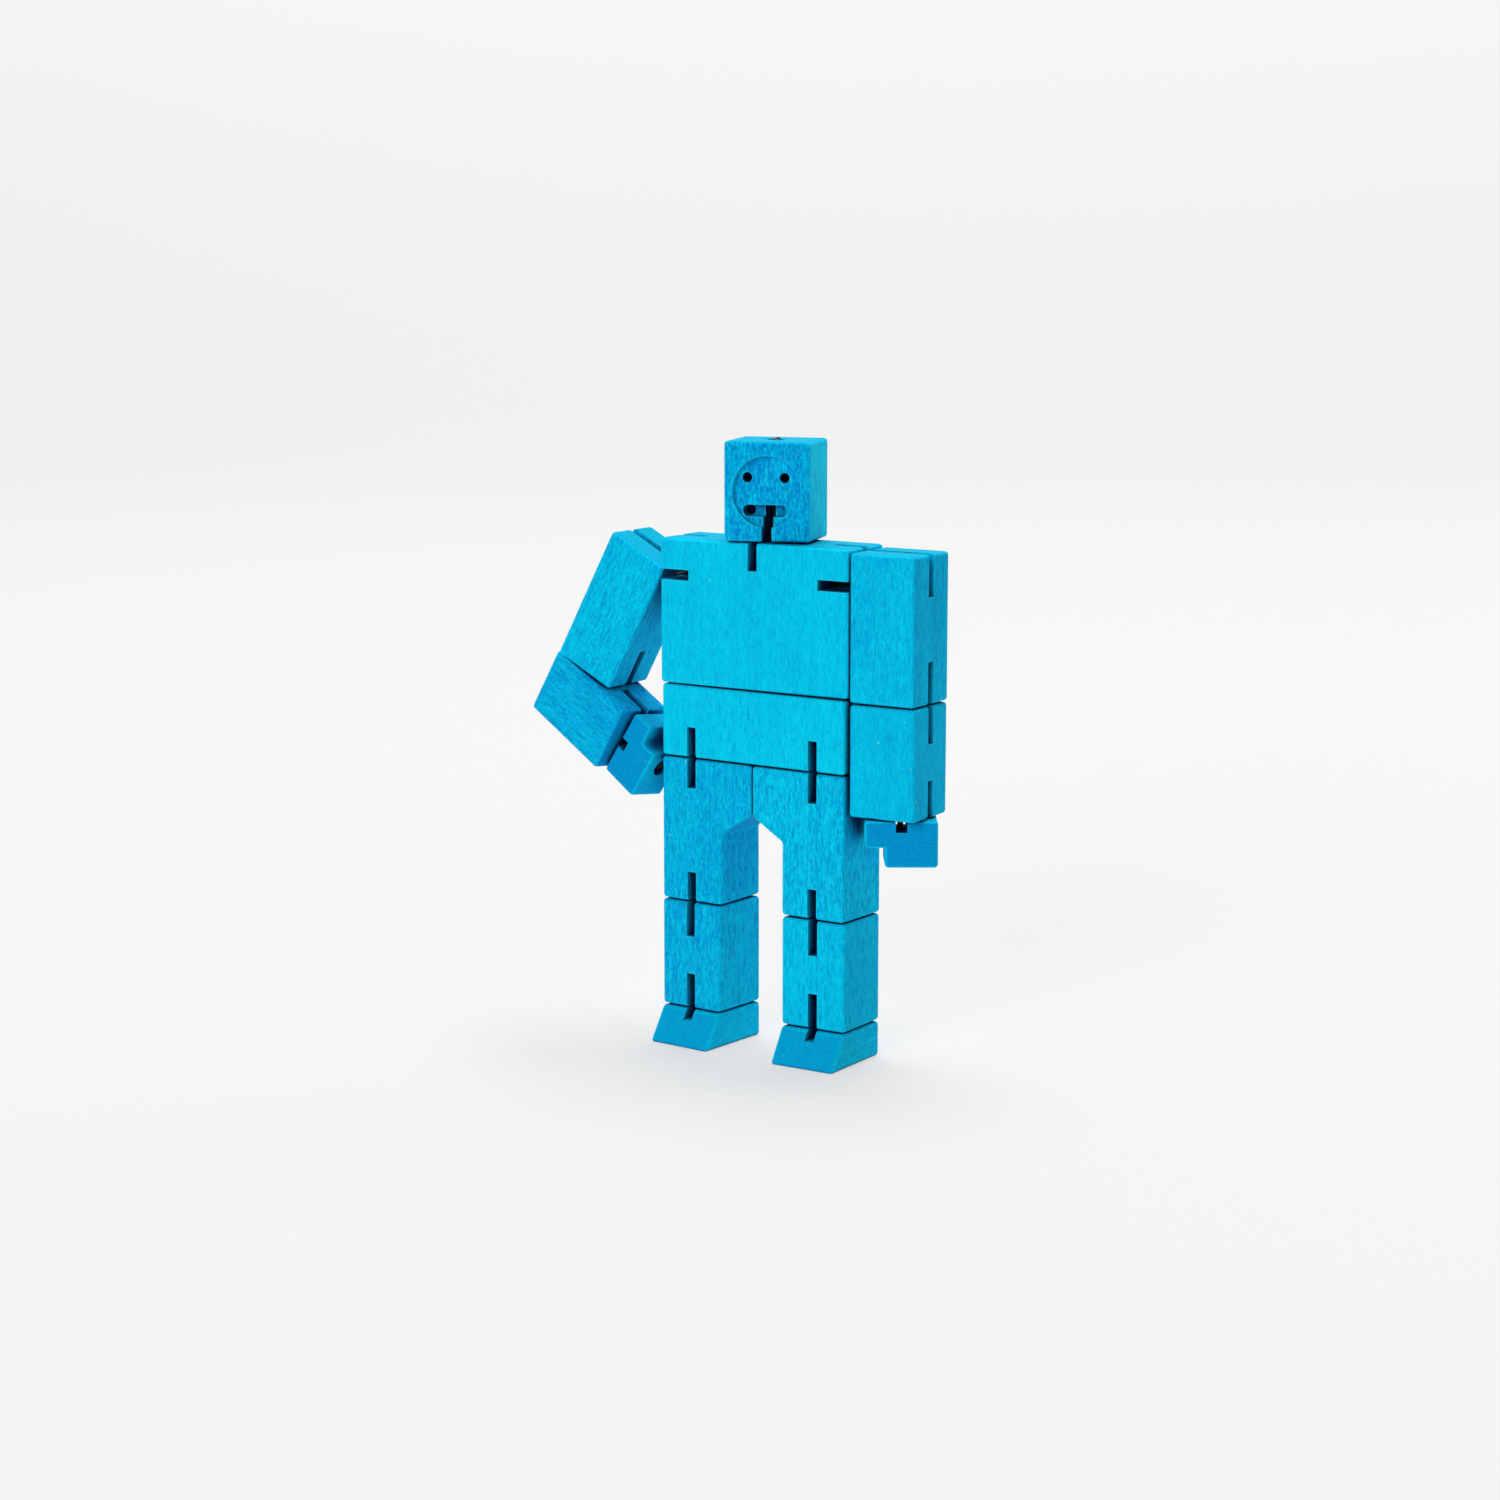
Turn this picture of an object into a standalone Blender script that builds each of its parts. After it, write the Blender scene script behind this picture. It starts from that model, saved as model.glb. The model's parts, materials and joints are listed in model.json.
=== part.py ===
"""Articulated wooden block robot: fifteen stained beech blocks strung on elastic cord.

The robot faces -Y, its own left is +X, and it stands on Z = 0. Every block is laid out on
one unit, UNIT, so that the figure folds into a cube three units wide. It stands with its
right hand on its hip, its left arm down and its head turned to its left.
"""

import math

import bmesh
import bpy
from mathutils import Matrix, Vector

# Driving dimensions, in metres and degrees -------------------------------------------
UNIT = 0.0145
GAP = 0.0003
EDGE_ROUND = 0.0007
DEPTH = 0.94 * UNIT  # front to back
ARM_WIDTH = 0.98 * UNIT
KERF = 0.145 * UNIT  # width of a saw slit

CHEST_SIZE = Vector((3 * UNIT, DEPTH, 2 * UNIT))
PELVIS_SIZE = Vector((3 * UNIT, DEPTH, UNIT))
THIGH_LENGTH = 2 * UNIT
THIGH_INNER_DROP = 0.7 * UNIT  # height of the flat where the two thighs meet
THIGH_CHAMFER = 0.3 * UNIT  # height of the slope below that flat
SHIN_LENGTH = 1.5 * UNIT
FOOT_HEIGHT = 0.485 * UNIT
TOE_REACH = 0.3 * UNIT
HEAD_SIZE = Vector((1.2 * UNIT, 0.96 * UNIT, 1.345 * UNIT))
UPPER_ARM_LENGTH = 2 * UNIT
FOREARM_LENGTH = 1.515 * UNIT
HAND_SIZE = Vector((0.98 * UNIT, 0.62 * UNIT, 0.63 * UNIT))
HAND_NOTCH = 0.27 * UNIT
LEG_X = UNIT  # leg axis, out from the middle

NECK_SLIT = 0.38 * UNIT
HEAD_SLIT = 0.48 * UNIT
SHOULDER_SLIT = 0.47 * UNIT
ARM_SLIT = 0.57 * UNIT
FOREARM_SLIT = 0.51 * UNIT
HAND_SLIT = 0.15 * UNIT
HAND_KERF = 0.155 * UNIT
PELVIS_SLIT = 0.42 * UNIT
THIGH_SLIT = 0.41 * UNIT
SHIN_SLIT = 0.485 * UNIT
FOOT_SLIT = 0.15 * UNIT

CORD_RADIUS = 0.0006
SPINE_CORD_RADIUS = 0.0008
BORE_RADIUS = 0.0011
SPINE_BORE_RADIUS = 0.0026
KNOT_RADIUS = 0.00115
KNOT_HOLE_RADIUS = 0.13 * UNIT
KNOT_HOLE_DEPTH = 0.2 * UNIT
GROOVE_DEPTH = 0.0034  # across the pelvis top, for the leg cord
ARM_CORD_DROP = 0.5 * UNIT  # arm cord, below the chest top

FACE_RADIUS = 0.48 * UNIT
FACE_DEPTH = 0.0014
EYE_RADIUS = 0.07 * UNIT
EYE_DEPTH = 0.0042
EYE_X = 0.26 * UNIT
EYES_SHIFT = -0.035 * UNIT  # the eyes sit a little off the centre line
EYE_Z = 0.185 * UNIT
MOUTH_X = -0.05 * UNIT
MOUTH_WIDTH = 0.61 * UNIT
MOUTH_HEIGHT = 0.16 * UNIT
MOUTH_Z = -0.26 * UNIT
MOUTH_DEPTH = 0.0018  # below the face recess

WAIST_TURN = -2.1
NECK_TURN = 16.7
RIGHT_SHOULDER_TILT = 28.2
RIGHT_SHOULDER_SLIP = 0.44 * UNIT  # the raised arm's top edge, below the chest top
RIGHT_ELBOW_TWIST = -10.4
RIGHT_ELBOW_FOLD = 89.0
RIGHT_WRIST_TWIST = 2.0
RIGHT_WRIST_TILT = 2.0
RIGHT_HAND_GAP = 0.05 * UNIT
RIGHT_ARM_SHIFT = 0.12 * UNIT  # the raised arm sits this far back
HEAD_SHIFT = Vector((0.055 * UNIT, 0.045 * UNIT, 0))
LEFT_SHOULDER_SLIP = 0.04 * UNIT
LEFT_ARM_GAP = 0.00042
ROCK_CLEARANCE = 0.0004  # from a block's side to the edge that it rocks on
LEFT_FOREARM_TURN = 1.8
LEFT_HAND_TURN = 32.7
LEFT_HAND_SHIFT = Vector((0.075 * UNIT, -0.05 * UNIT, 0))
RIGHT_SHIN_TURN = -2.5
LEFT_SHIN_TURN = 2.0

ANKLE_Z = FOOT_HEIGHT + GAP / 2
KNEE_Z = ANKLE_Z + SHIN_LENGTH + GAP
HIP_Z = KNEE_Z + THIGH_LENGTH + GAP
WAIST_Z = HIP_Z + PELVIS_SIZE.z + GAP
NECK_Z = WAIST_Z + CHEST_SIZE.z + GAP
CHEST_TOP = NECK_Z - GAP / 2
SHOULDER_Z = CHEST_TOP - ARM_CORD_DROP

# Finishes: colour, roughness, metallic ----------------------------------------------
STAINED_WOOD = ("stained_wood", (0.012, 0.46, 0.72), 0.62, 0.0)
ELASTIC_CORD = ("elastic_cord", (0.012, 0.012, 0.014), 0.8, 0.0)


def collection(name, cutters=False):
    made = bpy.data.collections.new(name)
    bpy.context.scene.collection.children.link(made)
    made.hide_render = cutters
    return made


def finish(name, kind):
    """The piece's own material, in one of the two finishes."""
    _, colour, roughness, metallic = kind
    material = bpy.data.materials.new(name)
    material.use_nodes = True
    shader = material.node_tree.nodes["Principled BSDF"]
    shader.inputs["Base Color"].default_value = (*colour, 1)
    shader.inputs["Roughness"].default_value = roughness
    shader.inputs["Metallic"].default_value = metallic
    return material


def turn(degrees, axis):
    return Matrix.Rotation(math.radians(degrees), 4, axis)


def pivot(name, parent, location=(0, 0, 0), rotation=None):
    """An empty on a joint's axis, placed in its parent's frame."""
    empty = bpy.data.objects.new(name, None)
    empty.empty_display_size = UNIT / 2
    PARTS.objects.link(empty)
    empty.parent = parent
    empty.matrix_basis = Matrix.Translation(location) @ (rotation or Matrix.Identity(4))
    return empty


def mesh_object(name, mesh, parent, where):
    obj = bpy.data.objects.new(name, mesh)
    obj.parent = parent
    where.objects.link(obj)
    return obj


def box_mesh(name, size, centre):
    """A box of the given size and centre, from a unit cube."""
    bm = bmesh.new()
    bmesh.ops.create_cube(bm, size=1)
    bmesh.ops.scale(bm, vec=size, verts=bm.verts)
    bmesh.ops.translate(bm, vec=centre, verts=bm.verts)
    mesh = bpy.data.meshes.new(name)
    bm.to_mesh(mesh)
    bm.free()
    return mesh


def outline_mesh(name, points, depth):
    """A flat outline in XZ, extruded front to back and centred on Y = 0."""
    curve = bpy.data.curves.new(name, "CURVE")
    curve.dimensions = "2D"
    curve.fill_mode = "BOTH"
    curve.extrude = depth / 2
    spline = curve.splines.new("POLY")
    spline.points.add(len(points) - 1)
    for point, (x, z) in zip(spline.points, points):
        point.co = (x, z, 0, 1)
    spline.use_cyclic_u = True
    flat = bpy.data.objects.new(name, curve)
    bpy.context.scene.collection.objects.link(flat)
    flat.matrix_world = turn(90, "X")
    mesh = solid_from_curve(flat)
    mesh.transform(turn(90, "X"))
    return mesh


def solid_from_curve(curve_object):
    """The curve's evaluated mesh, with its caps welded on; the curve is removed."""
    bpy.context.view_layer.update()
    graph = bpy.context.evaluated_depsgraph_get()
    mesh = bpy.data.meshes.new_from_object(curve_object.evaluated_get(graph))
    bm = bmesh.new()
    bm.from_mesh(mesh)
    bmesh.ops.remove_doubles(bm, verts=bm.verts, dist=1e-6)
    bmesh.ops.dissolve_limit(bm, angle_limit=0.01, verts=bm.verts, edges=bm.edges)
    bmesh.ops.recalc_face_normals(bm, faces=bm.faces)
    bm.to_mesh(mesh)
    bm.free()
    name = curve_object.name
    bpy.data.objects.remove(curve_object)
    mesh.name = name
    return mesh


def block(name, mesh, parent):
    """A wooden block: the mesh with rounded edges and its own material."""
    obj = mesh_object(name, mesh, parent, PARTS)
    rounding = obj.modifiers.new("rounded_edges", "BEVEL")
    rounding.width = EDGE_ROUND
    rounding.segments = 3
    rounding.limit_method = "ANGLE"
    rounding.angle_limit = math.radians(25)
    obj.data.materials.append(finish(name, STAINED_WOOD))
    return obj


def cut(obj, cutter_mesh, placing=None):
    """Takes the cutter's shape out of the block; placing is in the block's frame."""
    cutter = mesh_object(cutter_mesh.name, cutter_mesh, obj.parent, CUTTERS)
    cutter.matrix_basis = obj.matrix_basis @ (placing or Matrix.Identity(4))
    cutter.hide_render = True
    cutter.display_type = "WIRE"
    boolean = obj.modifiers.new(cutter_mesh.name, "BOOLEAN")
    boolean.operation = "DIFFERENCE"
    boolean.solver = "EXACT"
    boolean.object = cutter


def slit(obj, size, centre):
    """A saw slit: a box taken out of the block."""
    cut(obj, box_mesh(obj.name + "_slit", size, centre))


def drill(obj, radius, start, end, sides=20):
    """A round hole from start to end, in the block's frame."""
    start, end = Vector(start), Vector(end)
    bm = bmesh.new()
    bmesh.ops.create_cone(
        bm, cap_ends=True, segments=sides, radius1=radius, radius2=radius,
        depth=(end - start).length,
    )
    mesh = bpy.data.meshes.new(obj.name + "_bore")
    bm.to_mesh(mesh)
    bm.free()
    aim = (end - start).to_track_quat("Z", "Y").to_matrix().to_4x4()
    cut(obj, mesh, Matrix.Translation((start + end) / 2) @ aim)


def cord(name, parent, points, radius=CORD_RADIUS):
    """A length of elastic cord through the points, in the parent's frame."""
    curve = bpy.data.curves.new(name, "CURVE")
    curve.dimensions = "3D"
    curve.bevel_depth = radius
    curve.bevel_resolution = 2
    curve.use_fill_caps = True
    spline = curve.splines.new("POLY")
    spline.points.add(len(points) - 1)
    for point, where in zip(spline.points, points):
        point.co = (*where, 1)
    obj = mesh_object(name, curve, parent, PARTS)
    curve.materials.append(finish(name, ELASTIC_CORD))
    return obj


def knot(name, parent, centre):
    """A pulled-tight knot: a round ball of cord, flattened along the hole."""
    bm = bmesh.new()
    bmesh.ops.create_uvsphere(bm, u_segments=14, v_segments=8, radius=KNOT_RADIUS)
    bmesh.ops.scale(bm, vec=(1, 1, 0.85), verts=bm.verts)
    mesh = bpy.data.meshes.new(name)
    bm.to_mesh(mesh)
    bm.free()
    obj = mesh_object(name, mesh, parent, PARTS)
    obj.location = centre
    obj.data.shade_smooth()
    obj.data.materials.append(finish(name, ELASTIC_CORD))
    return obj


# The torso and head ------------------------------------------------------------------
def make_pelvis(waist):
    """The pelvis block, its two leg bores and the groove that joins them on top."""
    size = PELVIS_SIZE
    middle = WAIST_Z - GAP / 2 - size.z / 2
    pelvis = block("pelvis", box_mesh("pelvis", size, (0, 0, 0)), waist)
    pelvis.location = (0, 0, middle)
    top, low = size.z / 2, -size.z / 2
    for side in (-1, 1):
        x = side * LEG_X
        slit(pelvis, (KERF, UNIT * 1.2, 2 * PELVIS_SLIT), (x, 0, low))
        drill(pelvis, BORE_RADIUS, (x, 0, low), (x, 0, top + GAP))
    groove = (2 * LEG_X + 2 * BORE_RADIUS, 2 * BORE_RADIUS, 2 * GROOVE_DEPTH)
    slit(pelvis, groove, (0, 0, top))
    drill(pelvis, SPINE_BORE_RADIUS, (0, 0, top - GROOVE_DEPTH - 0.0012), (0, 0, top + GAP))
    bend = top - GROOVE_DEPTH + 2 * CORD_RADIUS + GAP
    route = [(-LEG_X, 0, low - GAP / 4), (-LEG_X, 0, bend - 0.001), (-LEG_X + 0.001, 0, bend),
             (LEG_X - 0.001, 0, bend), (LEG_X, 0, bend - 0.001), (LEG_X, 0, low - GAP / 4)]
    leg_cord = cord("pelvis_cord", waist, route)
    leg_cord.location = (0, 0, middle)
    return middle + bend


def make_spine_loop(waist, leg_cord_z):
    """The bottom of the spine cord, looped round the leg cord inside the pelvis groove."""
    ring = 2 * CORD_RADIUS + 0.0003
    count = 16
    points = [(0, ring * math.sin(a), leg_cord_z - ring * math.cos(a))
              for a in (math.radians(-150 + 300 * i / count) for i in range(count + 1))]
    cord("spine_loop", waist, points, CORD_RADIUS * 0.85)


def make_chest(waist_turned_back):
    """The chest block with its neck, shoulder and waist bores, and its cords."""
    size = CHEST_SIZE
    middle = WAIST_Z + GAP / 2 + size.z / 2
    chest = block("chest", box_mesh("chest", size, (0, 0, 0)), waist_turned_back)
    chest.location = (0, 0, middle)
    top, low, side_x = size.z / 2, -size.z / 2, size.x / 2
    arm_z = top - ARM_CORD_DROP
    slit(chest, (KERF, 1.2 * UNIT, 2 * NECK_SLIT), (0, 0, top))
    for side in (-1, 1):
        x = side * side_x
        slit(chest, (2 * SHOULDER_SLIT, 1.2 * UNIT, KERF), (x, 0, arm_z))
        slit(chest, (2 * SHOULDER_SLIT, KERF, 2 * ARM_CORD_DROP), (x, 0, top))
    drill(chest, BORE_RADIUS, (-side_x, 0, arm_z), (side_x, 0, arm_z))
    drill(chest, SPINE_BORE_RADIUS, (0, 0, low - GAP), (0, 0, top - NECK_SLIT / 2))
    bypass = CORD_RADIUS + SPINE_CORD_RADIUS + 0.00015
    end = low + 0.0006
    route = [(0, 0, top + GAP / 4), (0, 0, top - NECK_SLIT + 0.0005), (0, bypass, arm_z + 0.001),
             (0, bypass, arm_z - 0.0012), (0, 0, arm_z - 0.004), (0, 0, end)]
    spine = cord("spine_cord", waist_turned_back, route, SPINE_CORD_RADIUS)
    spine.location = (0, 0, middle)
    return chest


def make_head(neck_turned, neck_fold):
    """The head, with its round face recess, drilled eyes, milled mouth and knot hole."""
    size = HEAD_SIZE
    cord("neck_cord", neck_turned, [(0, 0, GAP / 4), (0, 0, HEAD_SLIT)], SPINE_CORD_RADIUS)
    middle = GAP / 2 + size.z / 2
    head = block("head", box_mesh("head", size, (0, 0, 0)), neck_fold)
    offset = -Vector(neck_fold.location)
    head.location = offset + Vector((0, 0, middle))
    front, top, low = -size.y / 2, size.z / 2, -size.z / 2
    floor = front + FACE_DEPTH
    drill(head, FACE_RADIUS, (0, front - FACE_DEPTH, 0), (0, floor, 0), sides=56)
    for side in (-1, 1):
        x = side * EYE_X + EYES_SHIFT
        drill(head, EYE_RADIUS, (x, front, EYE_Z), (x, floor + EYE_DEPTH, EYE_Z))
    cut(head, mouth_mesh(), Matrix.Translation((MOUTH_X, floor, MOUTH_Z)))
    plunge_x = MOUTH_X - (MOUTH_WIDTH - MOUTH_HEIGHT) / 2
    drill(head, MOUTH_HEIGHT * 0.44, (plunge_x, front, MOUTH_Z),
          (plunge_x, floor + EYE_DEPTH, MOUTH_Z))
    slit(head, (KERF, 1.2 * UNIT, 2 * HEAD_SLIT), (0, 0, low))
    drill(head, BORE_RADIUS * 1.15, (0, 0, low), (0, 0, top))
    drill(head, KNOT_HOLE_RADIUS, (0, 0, top - KNOT_HOLE_DEPTH), (0, 0, top + GAP))
    knot_z = top - KNOT_RADIUS * 0.6
    start, end = low + HEAD_SLIT + GAP, knot_z - KNOT_RADIUS * 0.85 - GAP / 2
    rope = cord("head_cord", neck_fold, [(0, 0, start), (0, 0, end)], SPINE_CORD_RADIUS)
    rope.location = head.location
    knot("head_knot", neck_fold, head.location + Vector((0, 0, knot_z)))
    return head


def mouth_mesh():
    """A cutter with a straight middle and round ends, standing front to back."""
    bm = bmesh.new()
    reach = (MOUTH_WIDTH - MOUTH_HEIGHT) / 2
    radius = MOUTH_HEIGHT / 2
    bmesh.ops.create_cone(
        bm, cap_ends=True, segments=24, radius1=radius, radius2=radius, depth=2 * MOUTH_DEPTH
    )
    half_step = Matrix.Rotation(math.pi / 24, 3, "Z")
    bmesh.ops.rotate(bm, verts=bm.verts, matrix=half_step)
    for vert in bm.verts:
        vert.co.x += math.copysign(reach, vert.co.x)
    bmesh.ops.rotate(bm, verts=bm.verts, matrix=Matrix.Rotation(math.pi / 2, 3, "X"))
    mesh = bpy.data.meshes.new("mouth")
    bm.to_mesh(mesh)
    bm.free()
    return mesh


# The legs ----------------------------------------------------------------------------
def thigh_outline(side):
    """The thigh from the front: full width at the hip, sloping in to leave a leg gap."""
    inner, outer = GAP / 2, 1.5 * UNIT
    return [(side * x, z) for x, z in (
        (outer, 0), (outer, -THIGH_LENGTH), (UNIT / 2, -THIGH_LENGTH),
        (UNIT / 2, -THIGH_INNER_DROP - THIGH_CHAMFER), (inner, -THIGH_INNER_DROP), (inner, 0))]


def make_thigh(name, side, hip):
    """Hung from the hip's fold axis, which runs along the front top edge."""
    thigh = block(name + "_thigh", outline_mesh(name + "_thigh", thigh_outline(side), DEPTH), hip)
    thigh.location = -Vector(hip.location) + Vector((0, 0, HIP_Z - GAP / 2))
    x = side * LEG_X
    slit(thigh, (KERF, 1.2 * UNIT, 2 * THIGH_SLIT), (x, 0, 0))
    slit(thigh, (KERF, 1.2 * UNIT, 2 * THIGH_SLIT), (x, 0, -THIGH_LENGTH))
    drill(thigh, BORE_RADIUS, (x, 0, 0), (x, 0, -THIGH_LENGTH))
    route = [(x, 0, -GAP / 4), (x, 0, -THIGH_LENGTH + GAP / 4)]
    rope = cord(name + "_thigh_cord", hip, route)
    rope.location = thigh.location


def make_shin(name, twist):
    """Below the knee; the twist axis is the shin's own bore."""
    size = Vector((UNIT, DEPTH, SHIN_LENGTH))
    shin = block(name + "_shin", box_mesh(name + "_shin", size, (0, 0, -size.z / 2)), twist)
    shin.location = (0, 0, -GAP / 2)
    for z in (0, -SHIN_LENGTH):
        slit(shin, (KERF, 1.2 * UNIT, 2 * SHIN_SLIT), (0, 0, z))
    drill(shin, BORE_RADIUS, (0, 0, 0), (0, 0, -SHIN_LENGTH))
    route = [(0, 0, -SHIN_SLIT - GAP), (0, 0, -SHIN_LENGTH)]
    cord(name + "_shin_cord", twist, route)


def foot_outline():
    """The foot from the side, toe to the left: the toe slopes out to the sole."""
    front, back = -DEPTH / 2, DEPTH / 2
    return [(front, 0), (front - TOE_REACH, -FOOT_HEIGHT), (back, -FOOT_HEIGHT), (back, 0)]


def make_foot(name, twist):
    """The foot, with the cord's end knot sunk into its sole."""
    mesh = outline_mesh(name + "_foot", foot_outline(), UNIT)
    mesh.transform(turn(90, "Z"))
    foot = block(name + "_foot", mesh, twist)
    foot.location = (0, 0, -GAP / 2)
    slit(foot, (KERF, 3 * UNIT, 2 * FOOT_SLIT), (0, 0, 0))
    drill(foot, BORE_RADIUS, (0, 0, 0), (0, 0, -FOOT_HEIGHT))
    hole_top = -FOOT_HEIGHT + KNOT_HOLE_DEPTH
    drill(foot, KNOT_HOLE_RADIUS, (0, 0, hole_top), (0, 0, -FOOT_HEIGHT - GAP))
    knot_z = -FOOT_HEIGHT + KNOT_RADIUS * 1.3
    knot(name + "_foot_knot", twist, (0, 0, knot_z - GAP / 2))


def make_leg(name, side, shin_turn, waist):
    hip = pivot(name + "_hip_fold", waist, (0, -DEPTH / 2 - GAP / 2, HIP_Z))
    make_thigh(name, side, hip)
    knee_place = Vector((side * LEG_X, (UNIT + GAP) / 2, KNEE_Z)) - hip.location
    knee = pivot(name + "_knee_fold", hip, knee_place)
    twist = pivot(name + "_knee_twist", knee, (0, -(UNIT + GAP) / 2, 0), turn(shin_turn, "Z"))
    cord(name + "_knee_cord", knee, [(0, -(UNIT + GAP) / 2, 0), (0, -(UNIT + GAP) / 2, -SHIN_SLIT)])
    make_shin(name, twist)
    drop = KNEE_Z - ANKLE_Z
    ankle = pivot(name + "_ankle_fold", twist, (0, -(UNIT + GAP) / 2, -drop))
    foot_twist = pivot(name + "_ankle_twist", ankle, (0, (UNIT + GAP) / 2, 0))
    knot_top = -FOOT_HEIGHT + KNOT_RADIUS * 2.15
    route = [(0, (UNIT + GAP) / 2, 0), (0, (UNIT + GAP) / 2, knot_top)]
    cord(name + "_ankle_cord", ankle, route)
    make_foot(name, foot_twist)


# The arms: each hangs outwards from the body, so side mirrors the offsets in X --------
def make_upper_arm(name, side, fold, entry):
    """Hung from its top inner edge, on which it rocks and slides along the chest side."""
    size = Vector((ARM_WIDTH, DEPTH, UPPER_ARM_LENGTH))
    middle = side * ARM_WIDTH / 2
    mesh = box_mesh(name + "_upper_arm", size, (middle, 0, -size.z / 2))
    arm = block(name + "_upper_arm", mesh, fold)
    for z in (0, -size.z):
        slit(arm, (1.2 * UNIT, KERF, 2 * ARM_SLIT), (middle, 0, z))
    drill(arm, BORE_RADIUS, (middle, 0, 0), (middle, 0, -size.z))
    bend = -ARM_SLIT + 0.0008
    route = [entry, (middle - side * 0.001, 0, bend + 0.0006), (middle, 0, bend - 0.0006),
             (middle, 0, -size.z + ARM_SLIT)]
    cord(name + "_upper_arm_cord", fold, route)
    return middle


def make_forearm(name, side, fold, turned):
    """Hung from its top edge, on which it rocks and slides along the upper arm's end."""
    size = Vector((ARM_WIDTH, DEPTH, FOREARM_LENGTH))
    forearm = block(name + "_forearm", box_mesh(name + "_forearm", size, (0, 0, -size.z / 2)), fold)
    forearm.matrix_basis = turned
    for z in (0, -size.z):
        slit(forearm, (1.2 * UNIT, KERF, 2 * FOREARM_SLIT), (0, 0, z))
    drill(forearm, BORE_RADIUS, (0, 0, 0), (0, 0, -size.z))
    start = -FOREARM_SLIT + 0.001
    rope = cord(name + "_forearm_cord", fold, [(0, 0, start), (0, 0, -size.z + FOREARM_SLIT)])
    rope.matrix_basis = turned
    rope = cord(name + "_wrist_cord", fold, [(0, 0, -size.z + FOREARM_SLIT - GAP), (0, 0, -size.z)])
    rope.matrix_basis = turned


def hand_outline(side):
    """The hand from the front: a block with a square notch in its far inner corner."""
    inner, outer, length = -HAND_SIZE.x / 2, HAND_SIZE.x / 2, HAND_SIZE.z
    return [(side * x, z) for x, z in (
        (inner, 0), (inner, -length + HAND_NOTCH), (inner + HAND_NOTCH, -length + HAND_NOTCH),
        (inner + HAND_NOTCH, -length), (outer, -length), (outer, 0))]


def make_hand(name, side, parent, twist):
    """The hand, with the cord's end knot sunk into its far end; parent holds the cord."""
    mesh = outline_mesh(name + "_hand", hand_outline(side), HAND_SIZE.y)
    hand = block(name + "_hand", mesh, twist)
    slit(hand, (HAND_KERF, 1.2 * UNIT, 2 * HAND_SLIT), (0, 0, 0))
    drill(hand, BORE_RADIUS, (0, 0, 0), (0, 0, -HAND_SIZE.z))
    hole_top = -HAND_SIZE.z + KNOT_HOLE_DEPTH
    drill(hand, KNOT_HOLE_RADIUS, (0, 0, hole_top), (0, 0, -HAND_SIZE.z - GAP))
    knot_z = -HAND_SIZE.z + KNOT_RADIUS * 1.15
    rope = cord(name + "_hand_cord", parent, [(0, 0, 0), (0, 0, knot_z + KNOT_RADIUS)])
    if parent != twist:
        rope.matrix_basis = twist.matrix_basis
    knot(name + "_hand_knot", twist, (0, 0, knot_z))


def make_shoulder(name, side, chest_turned, slip, gap, tilt, shift):
    """The pivots and cords from the chest's cross bore to the upper arm's top edge."""
    swing = pivot(name + "_shoulder_swing", chest_turned, (0, 0, SHOULDER_Z))
    chest_side = 1.5 * UNIT
    cord(name + "_chest_cord", swing, [(side * GAP / 2, 0, 0), (side * (chest_side - GAP / 2), 0, 0)])
    edge = Vector((side * (chest_side + gap), shift, ARM_CORD_DROP - slip))
    fold = pivot(name + "_shoulder_fold", swing, edge, turn(-side * tilt, "Y"))
    root = Vector((side * (chest_side - SHOULDER_SLIT), shift, 0))
    target = fold.matrix_basis @ Vector((side * ARM_WIDTH / 2, 0, -ARM_SLIT))
    course = (target - root) / abs(target.x - root.x)
    start, end = SHOULDER_SLIT + GAP / 2, SHOULDER_SLIT + GAP / 2 + 0.0016
    cord(name + "_shoulder_cord", swing, [root + course * start, root + course * end])
    entry = fold.matrix_basis.inverted() @ (root + course * (end + GAP))
    return fold, make_upper_arm(name, side, fold, entry)


def make_elbow(name, arm, middle, corner, fold_degrees):
    """The cord at the elbow, and the pivot on the forearm's top edge."""
    low = -UPPER_ARM_LENGTH
    cord(name + "_elbow_cord", arm, [(middle, 0, low + ARM_SLIT - GAP), (middle, 0, low)])
    return pivot(name + "_elbow_fold", arm, (corner, 0, low - GAP), turn(fold_degrees, "Y"))


def make_left_arm(chest_turned):
    arm, middle = make_shoulder("left", 1, chest_turned, LEFT_SHOULDER_SLIP, LEFT_ARM_GAP, 0, 0)
    reach = ARM_WIDTH / 2 + ROCK_CLEARANCE
    elbow = make_elbow("left", arm, middle, middle + reach, 0)
    turned = Matrix.Translation((-reach, 0, 0)) @ turn(LEFT_FOREARM_TURN, "Z")
    make_forearm("left", 1, elbow, turned)
    reach += LEFT_HAND_SHIFT.x + 0.0012
    end = turned @ Vector((0, 0, -FOREARM_LENGTH - GAP / 2))
    wrist = pivot("left_wrist_fold", elbow, end + Vector((reach, 0, 0)))
    place = Vector((-reach, 0, -GAP / 2)) + LEFT_HAND_SHIFT
    twist = pivot("left_wrist_twist", wrist, place, turn(LEFT_HAND_TURN, "Z"))
    make_hand("left", 1, wrist, twist)


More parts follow.
